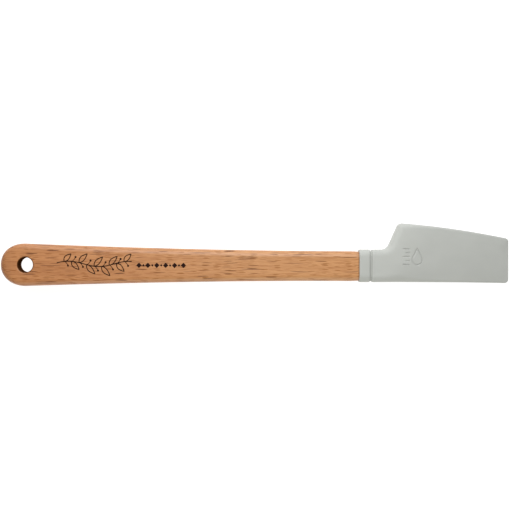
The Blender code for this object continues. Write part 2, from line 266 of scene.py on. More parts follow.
def distances(points, line):
    """Distance of each point, a row of x and y, from a line of points."""
    points = np.asarray(points, float).reshape(-1, 2)
    best = np.full(len(points), np.inf)
    for start, end in zip(line, line[1:]):
        run = np.array(end - start, float)
        away = points - np.array(start, float)
        ratio = np.clip(away @ run / (run @ run), 0, 1)
        best = np.minimum(best, np.linalg.norm(away - ratio[:, None] * run, axis=1))
    return best


def inside(points, outline):
    """True for each point inside the closed outline."""
    points = np.asarray(points, float).reshape(-1, 2)
    crossings = np.zeros(len(points), int)
    for start, end in zip(outline, outline[1:] + outline[:1]):
        spans = (start.y > points[:, 1]) != (end.y > points[:, 1])
        rise = end.y - start.y or 1e-12
        at = start.x + (points[:, 1] - start.y) * (end.x - start.x) / rise
        crossings += spans & (points[:, 0] < at)
    return crossings % 2 == 1


def quarter_drop(distance, radius):
    """How far a rounded rim lies below the face, at a distance in from the edge."""
    short = np.clip(radius - distance, 0, radius)
    return radius - np.sqrt(radius**2 - short**2)


def with_crossings(line, places):
    """The line with a point added wherever it passes one of the x places."""
    made = [line[0]]
    for start, end in zip(line, line[1:]):
        between = [x for x in places if min(start.x, end.x) < x < max(start.x, end.x)]
        for x in sorted(between, reverse=end.x < start.x):
            made.append(start + (end - start) * ((x - start.x) / (end.x - start.x)))
        made.append(end)
    return made


# Meshes


def triangulated(outline, extra, cuts=()):
    """Plane points and triangles inside the outline, and where the outline's and the cuts' points went."""
    points = list(outline)
    edges = []
    cut_rows = []
    for row in cuts:
        first = len(points)
        points += row
        cut_rows.append(list(range(first, len(points))))
        edges += [(i, i + 1) for i in range(first, len(points) - 1)]
    points += extra
    loop = [list(range(len(outline)))]
    made, _, faces, sources, _, _ = delaunay_2d_cdt(points, edges, loop, 1, SAME_POINT)
    place = {old: new for new, olds in enumerate(sources) for old in olds}
    xy = np.array([tuple(p) for p in made])
    return xy, faces, [place[i] for i in range(len(outline))], [[place[i] for i in r] for r in cut_rows]


def finished(name, bm, material, sharp=50):
    """A smooth-shaded object in the frame's own place from a bmesh in the tool's frame."""
    bmesh.ops.remove_doubles(bm, verts=bm.verts, dist=SAME_POINT)
    bmesh.ops.recalc_face_normals(bm, faces=bm.faces)
    bmesh.ops.translate(bm, verts=bm.verts, vec=ORIGIN)
    mesh = bpy.data.meshes.new(name)
    bm.to_mesh(mesh)
    bm.free()
    mesh.shade_smooth()
    mesh.set_sharp_from_angle(angle=math.radians(sharp))
    mesh.materials.append(material)
    made = bpy.data.objects.new(name, mesh)
    bpy.context.scene.collection.objects.link(made)
    return made


def around(loop):
    """The neighbouring pairs round a closed loop."""
    return zip(loop, loop[1:] + loop[:1])


def bridge(bm, first, second):
    """A band of faces between two closed loops."""
    for (a, b), (c, d) in zip(around(first), around(second)):
        bm.faces.new((a, b, d, c))


def loft(bm, loops, closed=False):
    """A skin over a row of loops of points, either capped at its ends or closed on itself."""
    rows = [[bm.verts.new(point) for point in loop] for loop in loops]
    for first, second in zip(rows, rows[1:]):
        bridge(bm, first, second)
    if closed:
        bridge(bm, rows[-1], rows[0])
    else:
        bm.faces.new(rows[0])
        bm.faces.new(rows[-1])


def plane_verts(bm, xy, heights):
    """A vertex over each plane point, at its height."""
    return [bm.verts.new((p[0], p[1], z)) for p, z in zip(xy, heights)]


def add_faces(bm, faces, top, bottom):
    """The same faces on the upper and, turned over, on the lower side."""
    for face in faces:
        bm.faces.new([top[i] for i in face])
        bm.faces.new([bottom[i] for i in reversed(face)])


def add_wall(bm, pairs, top, bottom):
    """The wall from the upper to the lower side along neighbouring pairs of points."""
    for i, j in pairs:
        bm.faces.new((top[i], top[j], bottom[j], bottom[i]))


def remove_loose(bm):
    for vert in [v for v in bm.verts if not v.link_faces]:
        bm.verts.remove(vert)


def rounded_section(x, width, thickness, rounding, inset=0.0, centre=0.0):
    """A rounded rectangle across the tool at x, drawn in by the inset, with its middle at the y given."""
    radius = max(rounding - inset, 0.0002)
    across = width / 2 - inset - radius
    up = thickness / 2 - inset - radius
    points = []
    for corner, (side_y, side_z) in enumerate(((1, 1), (-1, 1), (-1, -1), (1, -1))):
        for step in range(ARC_STEPS + 1):
            turn = math.radians(90 * (corner + step / ARC_STEPS))
            y = centre + side_y * across + radius * math.cos(turn)
            z = side_z * up + radius * math.sin(turn)
            points.append(Vector((x, y, z)))
    return points


# Handle


def handle_half_width(x, power=BUTT_POWER):
    reach = max(WAIST_AT - x, 0.0) / (WAIST_AT - BUTT_LENGTH)
    width = WAIST_WIDTH + (BUTT_WIDTH - WAIST_WIDTH) * reach**TAPER_POWER
    into_ease = max(x - (SHOULDER_AT - SHOULDER_EASE), 0.0) / SHOULDER_EASE
    width -= (WAIST_WIDTH - SHOULDER_WIDTH) * into_ease**2
    if x < BUTT_LENGTH:
        width *= (1 - (1 - x / BUTT_LENGTH) ** power) ** (1 / power)
    return width / 2


def handle_rim():
    """The outline of the wood without its straight end: along +y, round the butt and back along -y."""
    turns = [math.radians(90 * i / BUTT_STEPS) for i in range(BUTT_STEPS)]
    stations = [BUTT_LENGTH * (1 - math.cos(turn) ** (2 / BUTT_POWER)) for turn in turns]
    span = SHOULDER_AT - BUTT_LENGTH
    long_steps = int(span / HANDLE_STEP)
    stations += [BUTT_LENGTH + span * i / long_steps for i in range(long_steps + 1)]
    upper = [Vector((x, handle_half_width(x, BUTT_POWER_HIGH))) for x in stations]
    lower = [Vector((x, -handle_half_width(x))) for x in stations]
    return upper[::-1] + lower[1:]


def handle_end():
    """Points across the straight end of the wood, close together at its rounded corners."""
    half = handle_half_width(SHOULDER_AT)
    upper = [Vector((SHOULDER_AT, half - inset)) for inset in round_insets(HANDLE_ROUNDOVER)]
    lower = [Vector((p.x, -p.y)) for p in upper]
    return lower + upper[::-1]


def rows_inside(rim, insets_of, keep_share=0.97):
    """Rows of points inside a rim, with the solid on its right, at the insets that hold at each x."""
    rows = []
    for before, point, after in zip(rim, rim[1:], rim[2:]):
        along = (after - before).normalized()
        for inset in insets_of(point.x):
            rows.append((point + inset * Vector((along.y, -along.x)), inset))
    places = np.array([tuple(p) for p, _ in rows])
    insets = np.array([inset for _, inset in rows])
    keep = distances(places, rim) > keep_share * insets
    return [Vector(p) for p in places[keep]]


def round_insets(radius, steps=RIM_STEPS):
    """Distances in from an edge for rows of points over its rounding, and one row past it."""
    turns = [math.radians(90 * step / steps) for step in range(1, steps + 1)]
    return [radius * (1 - math.cos(turn)) for turn in turns] + [radius + ROUND_MARGIN]


def circle(centre, radius, count):
    turns = [2 * math.pi * i / count for i in range(count)]
    return [centre + radius * Vector((math.cos(turn), math.sin(turn))) for turn in turns]


def handle_height(points, rim, hole):
    """Height of the wood's upper face over mid-thickness, with the rim and the hole's lip rounded."""
    from_rim = distances(points, rim)
    from_hole = np.linalg.norm(points - np.array(hole), axis=1) - HOLE_RADIUS
    drop = quarter_drop(from_rim, HANDLE_ROUNDOVER) + quarter_drop(from_hole, HOLE_EASE)
    return HANDLE_THICKNESS / 2 - drop


def handle_points(rim, hole):
    """Points on the flat face: rows over the rounded rim, and a grid that keeps clear of the hole."""
    insets = round_insets(HANDLE_ROUNDOVER)
    rows = rows_inside(rim[::-1], lambda x: insets)
    points = [p for p in rows if (p - hole).length > HOLE_RADIUS + HOLE_EASE + 2 * ROUND_MARGIN]
    margin = HANDLE_GRID / 2
    for column in range(1, int(SHOULDER_AT / HANDLE_GRID)):
        for row in range(-4, 5):
            place = Vector((column * HANDLE_GRID, row * HANDLE_GRID))
            half = handle_half_width(place.x) - HANDLE_ROUNDOVER - margin
            if abs(place.y) < half and (place - hole).length > HOLE_RADIUS + HOLE_EASE + margin:
                points.append(place)
    return [p for p in points if distances([tuple(p)], rim)[0] > 1e-5]


def add_strip(bm):
    """The flat strip of the handle, with its hang hole."""
    rim = handle_rim()
    hole = Vector((HOLE_AT, 0.0))
    lip = [circle(hole, HOLE_RADIUS, HOLE_SIDES)]
    lip += [circle(hole, HOLE_RADIUS + inset, HOLE_SIDES) for inset in round_insets(HOLE_EASE, HOLE_STEPS)]
    points = handle_points(rim, hole) + [p for row in lip[1:] for p in row]
    xy, faces, ring, cuts = triangulated(rim + handle_end(), points, cuts=[lip[0] + [lip[0][0]]])
    heights = handle_height(xy, rim, hole)
    top = plane_verts(bm, xy, heights)
    bottom = plane_verts(bm, xy, -heights)
    middles = [xy[face].mean(axis=0) - np.array(hole) for face in faces]
    wood = [face for face, away in zip(faces, middles) if np.linalg.norm(away) >= HOLE_RADIUS * 0.995]
    add_faces(bm, wood, top, bottom)
    add_wall(bm, around(ring), top, bottom)
    add_wall(bm, around(cuts[0][:-1]), top, bottom)
    remove_loose(bm)


def add_spigot(bm):
    """The spigot on the end of the wood, hidden in the collar and the neck."""
    stations = [
        (SHOULDER_AT - SPIGOT_ROOT, 0.0),
        (SPIGOT_END - SPIGOT_CHAMFER, 0.0),
        (SPIGOT_END, SPIGOT_CHAMFER),
    ]
    size = (SPIGOT_WIDTH, SPIGOT_THICKNESS, SPIGOT_ROUNDING)
    loft(bm, [rounded_section(x, *size, inset) for x, inset in stations])


def make_handle(material):
    bm = bmesh.new()
    add_strip(bm)
    add_spigot(bm)
    handle = finished("beech_handle", bm, material)
    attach(handle, "handle")
    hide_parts("handle")


# Ornament in ink


def add_plate(bm, outline, z):
    """A thin layer of ink with the outline given, half of it sunk into the wood."""
    levels = (z - INK_HEIGHT, z + INK_HEIGHT)
    loft(bm, [[p.to_3d() + Vector((0, 0, level)) for p in outline] for level in levels])


def add_stroke(bm, points, width, z):
    """A flat stroke of ink along the points."""
    left, right = [], []
    for i, point in enumerate(points):
        before, after = points[max(i - 1, 0)], points[min(i + 1, len(points) - 1)]
        along = (after - before).normalized()
        side = Vector((-along.y, along.x)) * (width / 2)
        left.append(point + side)
        right.append(point - side)
    add_plate(bm, left + right[::-1], z)


def sprig_stem(t):
    """The place on the swaying stem at t, from 0 at its start to 1 at its end."""
    x = SPRIG_X[0] + (SPRIG_X[1] - SPRIG_X[0]) * t
    return Vector((x, SPRIG_Y + SPRIG_SWAY * math.sin(2 * math.pi * (t * 1.25 + 0.05))))


def leaf_side(base, length, lean, belly):
    """One side of a leaf, from its base to its tip, that bulges by the belly."""
    along = Vector((math.cos(lean), math.sin(lean)))
    across = Vector((-along.y, along.x))
    ratios = [i / LEAF_STEPS for i in range(LEAF_STEPS + 1)]
    return [base + length * t * along + belly * math.sin(math.pi * t**0.8) * across for t in ratios]


def add_sprig(bm, z):
    """A leaf sprig in thin lines: a stem, and at each joint a leaf on one side and a bud on the other."""
    add_stroke(bm, [sprig_stem(i / SPRIG_STEPS) for i in range(SPRIG_STEPS + 1)], INK_STROKE, z)
    for number in range(LEAF_COUNT):
        t = 0.10 + 0.80 * number / (LEAF_COUNT - 1)
        base = sprig_stem(t)
        length = LEAF_LENGTH * (0.72 + 0.28 * math.sin(math.pi * t))
        side = 1 if number % 2 == 0 else -1
        lean = side * LEAF_LEAN
        for belly in LEAF_BELLIES:
            add_stroke(bm, leaf_side(base, length, lean, side * belly), INK_STROKE, z)
        bud = base + BUD_STEM * Vector((math.cos(-lean), math.sin(-lean)))
        add_stroke(bm, leaf_side(base, BUD_STEM, -lean, side * BUD_BELLY), 0.7 * INK_STROKE, z)
        add_stroke(bm, circle(bud, BUD_RADIUS, BUD_SIDES) + [bud + Vector((BUD_RADIUS, 0))], INK_STROKE, z)


def add_lozenges(bm, z):
    """A row of lozenges, big and small in turn."""
    for number in range(BEAD_COUNT):
        x = BEADS_X[0] + (BEADS_X[1] - BEADS_X[0]) * number / (BEAD_COUNT - 1)
        half = BIG_BEAD if number % 2 == 0 else SMALL_BEAD
        add_plate(bm, circle(Vector((x, 0.0)), half, 4), z)


def make_ornament(material):
    """The print on the upper face of the wood."""
    for name, add_print in (("ink_sprig", add_sprig), ("ink_lozenges", add_lozenges)):
        bm = bmesh.new()
        add_print(bm, HANDLE_THICKNESS / 2)
        piece = finished(name, bm, material)
        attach(piece, "handle")


# Collar


def collar_profile():
    """The outside of the collar as x and inset, from the wood to the tongue under the groove."""
    quarter = [math.radians(90 * i / ARC_STEPS) for i in range(ARC_STEPS + 1)]
    near = [(COLLAR_START + COLLAR_LIP * (1 - math.cos(t)), COLLAR_LIP * (1 - math.sin(t))) for t in quarter]
    ease_start = COLLAR_END - COLLAR_EASE
    far = [(ease_start + COLLAR_EASE * math.sin(t), COLLAR_EASE * (1 - math.cos(t))) for t in quarter]
    far = [(x, inset) for x, inset in far if inset <= GROOVE_DEPTH]
    tongue = [(TONGUE_START, GROOVE_DEPTH), (HEAD_START + TONGUE_INTO_HEAD, GROOVE_DEPTH)]
    return near + far + tongue


def make_collar(material):
    """A ring with eased ends. A shallow tongue at its far end is the floor of the groove before the head."""
    outside = (NECK_WIDTH, NECK_THICKNESS, NECK_ROUNDING)
    passage = (SPIGOT_WIDTH + PASSAGE_SLACK, SPIGOT_THICKNESS + PASSAGE_SLACK, SPIGOT_ROUNDING)
    mouth = (SHOULDER_WIDTH + MOUTH_SLACK, HANDLE_THICKNESS + MOUTH_SLACK, HANDLE_ROUNDOVER + MOUTH_SLACK / 2)
    mouth_end = SHOULDER_AT + MOUTH_DEPTH
    loops = [rounded_section(x, *outside, inset, NECK_CENTRE) for x, inset in collar_profile()]
    loops += [
        rounded_section(HEAD_START + TONGUE_INTO_HEAD, *passage),
        rounded_section(mouth_end, *passage),
        rounded_section(mouth_end, *mouth),
        rounded_section(COLLAR_START, *mouth),
    ]
    bm = bmesh.new()
    loft(bm, loops, closed=True)
    collar = finished("silicone_collar", bm, material)
    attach(collar, "handle")
    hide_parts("collar")


# Head


def head_rim():
    """The rim of the head from the top of the neck, over the blade, to the bottom of the neck."""
    neck_top = Vector((HEAD_START, NECK_CENTRE + NECK_WIDTH / 2))
    neck_bottom = Vector((HEAD_START, NECK_CENTRE - NECK_WIDTH / 2))
    rise = Vector((RISE_AT, neck_top.y))
    edge_top = Vector((LENGTH, EDGE_TOP))
    edge_bottom = Vector((LENGTH, EDGE_BOTTOM))
    top = bowed(edge_top, CREST, -TOP_BULGE)[::-1]
    bottom = bowed(edge_bottom, neck_bottom, -BOTTOM_HOLLOW)
    rise_round = filleted(neck_top, rise, CREST, RISE_FILLET)
    crest_round = filleted(rise, CREST, top[1], CREST_FILLET)
    upper_round = filleted(top[-2], edge_top, edge_bottom, EDGE_FILLET)
    lower_round = filleted(edge_top, edge_bottom, bottom[1], EDGE_FILLET)
    past_crest = [p for p in top if crest_round[-1].x < p.x < upper_round[0].x]
    back_to_neck = [p for p in bottom if p.x < lower_round[-1].x]
    runs = [
        bowed(neck_top, rise_round[0])[:-1],
        rise_round[:-1],
        bowed(rise_round[-1], crest_round[0])[:-1],
        crest_round,
        past_crest,
        upper_round[:-1],
        bowed(upper_round[-1], lower_round[0])[:-1],
        lower_round,
        back_to_neck,
    ]
    return [point for run in runs for point in run]


def half_thickness(x):
    """Half of the head's thickness at x: even over the neck, then a wedge to the working edge."""
    reach = np.clip((np.asarray(x, float) - TAPER_START) / (LENGTH - TAPER_START), 0, 1)
    thin, thick = EDGE_THICKNESS / 2, NECK_THICKNESS / 2
    return thin + (thick - thin) * (1 - reach**WEDGE_POWER)


def crown_drop(distance, x):
    """How far the slightly crowned face lies below its middle, most of all where the head is thick."""
    share = CROWN_AT_EDGE + (1 - CROWN_AT_EDGE) * 2 * half_thickness(x) / NECK_THICKNESS
    past_neck = np.clip((x - RISE_AT) / CROWN_REACH, 0, 1)
    return CROWN_DROP * share * past_neck * np.clip(1 - distance / CROWN_REACH, 0, 1) ** 2


def rim_profile(x):
    """How far in the rounding of the rim reaches at x, and how deep it goes."""
    reach = np.interp(x, RIM_X, RIM_REACH)
    return reach, np.minimum(reach, RIM_SHARE * half_thickness(x) - crown_drop(0.0, x))


def rim_drop(distance, x):
    """How far the rounded rim lies below the face. It fades out softly towards the face."""
    reach, depth = rim_profile(x)
    short = np.clip(1 - distance / reach, 0, 1)
    return depth * (1 - (1 - short**RIM_POWER) ** (1 / RIM_POWER))


def mark_strokes():
    """The centre lines of the marks: a drop, and a row of ticks beside it."""
    tangent = math.acos(DROP_RADIUS / DROP_POINT)
    tip = DROP_CENTRE + Vector((0, DROP_POINT))
    arc = []
    for i in range(DROP_STEPS + 1):
        turn = math.pi / 2 + tangent + (2 * math.pi - 2 * tangent) * i / DROP_STEPS
        arc.append(DROP_CENTRE + DROP_RADIUS * Vector((math.cos(turn), math.sin(turn))))
    strokes = [[tip, *arc, tip]]
    for i in range(TICK_COUNT):
        y = TICKS_Y[0] + (TICKS_Y[1] - TICKS_Y[0]) * i / (TICK_COUNT - 1)
        start = TICKS_X[0] if i % 2 == 0 else (TICKS_X[0] + TICKS_X[1]) / 2
        strokes.append([Vector((start, y)), Vector((TICKS_X[1], y))])
    return strokes


def mark_drop(points):
    """How far the marks are pressed in at each point."""
    nearest = np.full(len(points), np.inf)
    for stroke in mark_strokes():
        nearest = np.minimum(nearest, distances(points, stroke))
    into = np.clip((MARK_STROKE / 2 + MARK_EDGE / 2 - nearest) / MARK_EDGE, 0, 1)
    return MARK_DEPTH * into * into * (3 - 2 * into)


def head_height(points, rim):
    """Height of the head's surface over mid-thickness, with its rim and the end of the neck rounded."""
    x = points[:, 0]
    distance = distances(points, rim)
    neck_drop = quarter_drop(x - HEAD_START, NECK_EASE)
    return half_thickness(x) - crown_drop(distance, x) - rim_drop(distance, x) - neck_drop


def rim_insets(x):
    """The insets of the rows of points over the rounded rim at x."""
    return round_insets(float(rim_profile(x)[0]))


def square_grid(x, y, step, columns, rows):
    return [(x + column * step, y + row * step) for column in columns for row in rows]


def head_grid(rim, outline):
    """Grid points inside the head and clear of its rounded rim, much closer together at the marks."""
    columns = range(1, int((LENGTH - HEAD_START) / GRID_STEP) + 1)
    rows = range(int((CREST.y - EDGE_BOTTOM) / GRID_STEP) + 1)
    coarse = square_grid(HEAD_START, EDGE_BOTTOM, GRID_STEP, columns, rows)
    low = Vector((TICKS_X[0] - MARK_MARGIN, DROP_CENTRE.y - DROP_RADIUS - MARK_MARGIN))
    high = Vector((DROP_CENTRE.x + DROP_RADIUS + MARK_MARGIN, DROP_CENTRE.y + DROP_POINT + MARK_MARGIN))
    grid = [(x, y) for x, y in coarse if not (low.x < x < high.x and low.y < y < high.y)]
    columns = range(int((high.x - low.x) / FINE_STEP))
    rows = range(int((high.y - low.y) / FINE_STEP))
    grid = np.array(grid + square_grid(low.x, low.y, FINE_STEP, columns, rows))
    clear = distances(grid, rim) > rim_profile(grid[:, 0])[0] + RIM_CLEARANCE
    return [Vector(p) for p in grid[clear & inside(grid, outline)]]


def neck_points():
    """Rows of points across the neck, over the rounding of its end."""
    half = NECK_WIDTH / 2 - NECK_EASE
    shares = [2 * i / NECK_COLUMNS - 1 for i in range(NECK_COLUMNS + 1)]
    insets = round_insets(NECK_EASE, CORNER_STEPS)[:-1] + [NECK_EASE + NECK_MARGIN]
    return [Vector((HEAD_START + inset, NECK_CENTRE + half * share)) for inset in insets for share in shares]


def head_points(rim, outline, splits):
    """All points inside the head's outline, apart from those too near a split."""
    points = rows_inside(rim, rim_insets) + head_grid(rim, outline) + neck_points()
    return [p for p in points if all(abs(p.x - x) > SPLIT_MARGIN for x in splits)]


def split_rows(rim, splits):
    """Points across the head at each split, from rim to rim, close together where the rim is rounded."""
    rows = []
    for x in splits:
        ends = sorted(p.y for p in rim if abs(p.x - x) < 1e-7)
        low, high = ends[0], ends[-1]
        insets = rim_insets(x)
        middle_low, middle_high = low + insets[-1], high - insets[-1]
        count = int((middle_high - middle_low) / GRID_STEP)
        ys = [low, *[low + i for i in insets]]
        ys += [middle_low + (middle_high - middle_low) * k / count for k in range(1, count)]
        ys += [high - i for i in insets[::-1]] + [high]
        rows.append([Vector((x, y)) for y in ys])
    return rows


def neck_corner(side):
    """The eased corner of the neck in plan, from its side to its end face."""
    centre = Vector((HEAD_START + NECK_EASE, NECK_CENTRE + side * (NECK_WIDTH / 2 - NECK_EASE)))
    turns = [math.radians(90 * i / CORNER_STEPS) for i in range(CORNER_STEPS + 1)]
    return [centre + NECK_EASE * Vector((-math.sin(t), side * math.cos(t))) for t in turns]


def neck_end():
    """Points across the end face of the neck, close together at its rounded edges."""
    depths = [NECK_WIDTH / 2 - NECK_EASE - inset for inset in round_insets(NECK_ROUNDING - NECK_EASE)]
    return [Vector((HEAD_START, NECK_CENTRE + y)) for y in [-d for d in depths] + depths[::-1]]


def skin_piece(name, material, span, head, walls):
    """The closed part of the head's skin whose x lies in the span, with its walls along the pairs given."""
    xy, faces, upper, lower = head
    low, high = span
    bm = bmesh.new()
    top = plane_verts(bm, xy, upper)
    bottom = plane_verts(bm, xy, lower)
    add_faces(bm, [face for face in faces if low < xy[face].mean(axis=0)[0] < high], top, bottom)
    add_wall(bm, walls, top, bottom)
    remove_loose(bm)
    return finished(name, bm, material)


def make_head(material):
    """One continuous skin, cut into three closed pieces at the middles of the CAD's bending pieces."""
    splits = [
        (HINGE_X["blade_heel"] + HINGE_X["blade_middle"]) / 2,
        (HINGE_X["blade_middle"] + HINGE_X["blade_edge"]) / 2,
    ]
    full_rim = head_rim()
    rim = with_crossings([p for p in full_rim if p.x > HEAD_START + NECK_EASE + NECK_MARGIN], splits)
    outline = rim + neck_corner(-1) + neck_end() + neck_corner(1)[::-1]
    points = head_points(full_rim, outline, splits)
    xy, faces, ring, rows = triangulated(outline, points, split_rows(rim, splits))
    heights = head_height(xy, full_rim)
    head = (xy, faces, heights - mark_drop(xy), -heights)
    names = ("blade_skin_root", "blade_skin_middle", "blade_skin_edge")
    limits = [-1.0, *splits, 1.0]
    pieces = []
    for name, low, high in zip(names, limits, limits[1:]):
        walls = [(i, j) for i, j in around(ring) if low < (xy[i][0] + xy[j][0]) / 2 < high]
        for x, row in zip(splits, rows):
            if x in (low, high):
                walls += zip(row, row[1:])
        pieces.append(skin_piece(name, material, (low, high), head, walls))
    return pieces, splits


def bend_head(pieces):
    """Each skin piece has its place baked into its mesh, and the CAD pieces it stands for are hidden."""
    stands_for = [("blade_root", "blade_heel"), ("blade_middle",), ("blade_edge",)]
    for number, piece in enumerate(pieces):
        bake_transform(piece)
        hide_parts(*stands_for[number])


# Materials


class Nodes:
    """A short way to write a node tree."""

    def __init__(self, name):
        self.material = bpy.data.materials.new(name)
        self.material.use_nodes = True
        self.tree = self.material.node_tree
        self.shader = self.tree.nodes["Principled BSDF"]

    def add(self, kind, links=None, **settings):
        node = self.tree.nodes.new(kind)
        for key, value in settings.items():
            setattr(node, key, value)
        for socket, value in (links or {}).items():
            self.feed(node, socket, value)
        return node

    def feed(self, node, socket, value):
        target = node.inputs[socket]
        if isinstance(value, bpy.types.NodeSocket):
            self.tree.links.new(value, target)
        else:
            target.default_value = value

    def object_coordinates(self):
        return self.add("ShaderNodeTexCoord").outputs["Object"]

    def scaled(self, vector, scale):
        return self.add("ShaderNodeVectorMath", {0: vector, 1: scale}, operation="MULTIPLY").outputs[0]

    def noise(self, vector, scale=1.0, detail=2.0, roughness=0.5):
        links = {"Vector": vector, "Scale": scale, "Detail": detail, "Roughness": roughness}
        return self.add("ShaderNodeTexNoise", links).outputs["Fac"]

    def math(self, operation, a, b=0.0, clamp=False):
        return self.add("ShaderNodeMath", {0: a, 1: b}, operation=operation, use_clamp=clamp).outputs[0]

    def remap(self, value, low, high, to_low=0.0, to_high=1.0, smooth=True):
        links = {"Value": value, "From Min": low, "From Max": high, "To Min": to_low, "To Max": to_high}
        kind = "SMOOTHSTEP" if smooth else "LINEAR"
        return self.add("ShaderNodeMapRange", links, interpolation_type=kind).outputs["Result"]

    def mix(self, factor, a, b, blend="MIX"):
        node = self.add("ShaderNodeMix", data_type="RGBA", blend_type=blend)
        self.feed(node, 0, factor)
        self.feed(node, 6, a)
        self.feed(node, 7, b)
        return node.outputs[2]

    def bump(self, height, distance, strength=1.0, normal=None):
        links = {"Height": height, "Distance": distance, "Strength": strength}
        if normal is not None:
            links["Normal"] = normal
        return self.add("ShaderNodeBump", links).outputs["Normal"]

    def finish(self, colour, roughness, normal=None, **fixed):
        self.feed(self.shader, "Base Color", colour)
        self.feed(self.shader, "Roughness", roughness)
        if normal is not None:
            self.feed(self.shader, "Normal", normal)
        for socket, value in fixed.items():
            self.feed(self.shader, socket.replace("_", " "), value)
        return self.material


def flecks(nodes, vector, cell, size, share):
    """Short dark flecks along x: their spacing in metres, their size in cells and the share that show."""
    scaled = nodes.scaled(vector, tuple(1 / c for c in cell))
    voronoi = nodes.add("ShaderNodeTexVoronoi", {"Vector": scaled, "Scale": 1.0, "Randomness": 1.0})
    shape = nodes.remap(voronoi.outputs["Distance"], size * 0.7, size, 1.0, 0.0)
    chosen = nodes.add("ShaderNodeSeparateColor", {"Color": voronoi.outputs["Color"]}).outputs[0]
    strength = nodes.remap(chosen, 1 - share, 0.9, 0.0, 1.0)
    return nodes.math("MULTIPLY", shape, strength)


def drifting_grain(nodes, place):
    """The place, moved a little to the side by a slow noise, so that the grain isn't ruled."""
    drift = nodes.noise(nodes.scaled(place, (30, 110, 110)), detail=2.0)
    lift = nodes.math("MULTIPLY", nodes.math("SUBTRACT", drift, 0.5), 0.0030)
    shifted = nodes.add("ShaderNodeCombineXYZ", {1: lift, 2: lift}).outputs[0]
    return nodes.add("ShaderNodeVectorMath", {0: place, 1: shifted}, operation="ADD").outputs[0]


def hole_shade(nodes, place):
    """1 on the wall of the drilled hole, 0 elsewhere: the mask for painted shade there, with some darker
    drilled wood.
    """
    centre = ORIGIN + Vector((HOLE_AT, 0, 0))
    away = nodes.add("ShaderNodeVectorMath", {0: place, 1: centre}, operation="SUBTRACT").outputs[0]
    flat = nodes.scaled(away, (1, 1, 0))
    radius = nodes.add("ShaderNodeVectorMath", {0: flat}, operation="LENGTH").outputs["Value"]
    return nodes.remap(radius, HOLE_RADIUS + 0.0001, HOLE_RADIUS + 0.0004, 0.95, 0.0)


def beech_material():
    """Beech with fine streaks and ray flecks, darker and warmer towards the butt, and painted shade in the
    hole, at the collar and at the butt's end.
    """
    nodes = Nodes("beech_wood")
    place = nodes.object_coordinates()
    grain = drifting_grain(nodes, place)
    bands = nodes.noise(nodes.scaled(grain, (12, 420, 420)), detail=3.0)
    streaks = nodes.noise(nodes.scaled(grain, (190, 3500, 3500)), detail=2.0)
    fibres = nodes.noise(nodes.scaled(grain, (700, 8000, 8000)), detail=2.0)
    big = flecks(nodes, grain, (0.0074, 0.00040, 0.00055), 0.33, 0.46)
    small = flecks(nodes, grain, (0.0040, 0.00031, 0.00040), 0.38, 0.58)
    long = flecks(nodes, grain, (0.0170, 0.00052, 0.00056), 0.27, 0.42)
    tan = nodes.mix(nodes.remap(bands, 0.30, 0.70), DEEP_BEECH, PALE_BEECH)
    tan = nodes.mix(nodes.remap(streaks, 0.46, 0.66, 0.0, 0.60), tan, STREAK)
    tan = nodes.mix(nodes.remap(fibres, 0.35, 0.65, 0.22, 0.0), tan, FIBRE)
    tan = nodes.mix(nodes.math("MULTIPLY", small, 0.85), tan, SMALL_FLECK)
    tan = nodes.mix(nodes.math("MULTIPLY", big, 0.96), tan, BIG_FLECK)
    tan = nodes.mix(nodes.math("MULTIPLY", long, 0.80), tan, LONG_FLECK)
    along = nodes.add("ShaderNodeSeparateXYZ", {"Vector": place}).outputs["X"]
    # Darker and warmer towards the butt.
    toward_butt = nodes.remap(along, ORIGIN.x + 0.090, ORIGIN.x + 0.010, 0.0, 1.0)
    tan = nodes.mix(toward_butt, tan, nodes.mix(1.0, tan, BUTT_END_TINT, "MULTIPLY"))
    # Painted shade on the wall of the hang hole, partly darker drilled wood.
    drilled = hole_shade(nodes, place)
    # Painted shade: a dark line where the wood goes into the collar.
    joint = nodes.remap(along, ORIGIN.x + COLLAR_START - 0.0006, ORIGIN.x + COLLAR_START, 0.0, 0.5)
    # Painted shade on the rounded end of the butt.
    butt = nodes.remap(along, ORIGIN.x + 0.0060, ORIGIN.x, 0.0, 0.18)
    # All the painted shade on the wood, mixed towards SHADED_WOOD.
    dark = nodes.math("MAXIMUM", nodes.math("MAXIMUM", drilled, joint), butt)
    colour = nodes.mix(dark, tan, SHADED_WOOD)
    pores = nodes.math("ADD", nodes.math("MULTIPLY", big, -0.7), nodes.math("MULTIPLY", streaks, 0.5))
    normal = nodes.bump(pores, 0.00003, 0.6)
    roughness = nodes.remap(streaks, 0.3, 0.7, 0.42, 0.52)
    dull = nodes.math("MULTIPLY", nodes.math("ADD", big, small, clamp=True), 0.8)
    bare = nodes.remap(drilled, 0.0, 0.9, 1.0, 0.0)
    shine = nodes.remap(nodes.math("MAXIMUM", dull, drilled), 0.0, 0.9, 0.42, 0.05, smooth=False)
    gloss = {
        "Specular_IOR_Level": nodes.math("MULTIPLY", shine, bare),
        "Coat_Weight": nodes.math("MULTIPLY", bare, 0.5),
        "Coat_Roughness": 0.32,
    }
    return nodes.finish(colour, roughness, normal, **gloss)


def silicone_material(name, colour):
    """Matte silicone with a faint unevenness of tone and a fine moulded texture."""
    nodes = Nodes(name)
    place = nodes.object_coordinates()
    cloud = nodes.noise(nodes.scaled(place, (70, 90, 90)), detail=3.0)
    dust = nodes.noise(place, scale=2600.0, detail=2.0)
    pale = tuple(min(c * 1.035, 1) for c in colour) + (1,)
    deep = tuple(c * 0.965 for c in colour) + (1,)
    base = nodes.mix(nodes.remap(cloud, 0.3, 0.7), deep, pale)
    roughness = nodes.remap(cloud, 0.3, 0.7, 0.5, 0.6)
    normal = nodes.bump(dust, 0.000006, 0.5)
    sheen = {"Sheen_Weight": 0.08, "Sheen_Roughness": 0.5}
    return nodes.finish(base, roughness, normal, Specular_IOR_Level=0.45, **sheen)


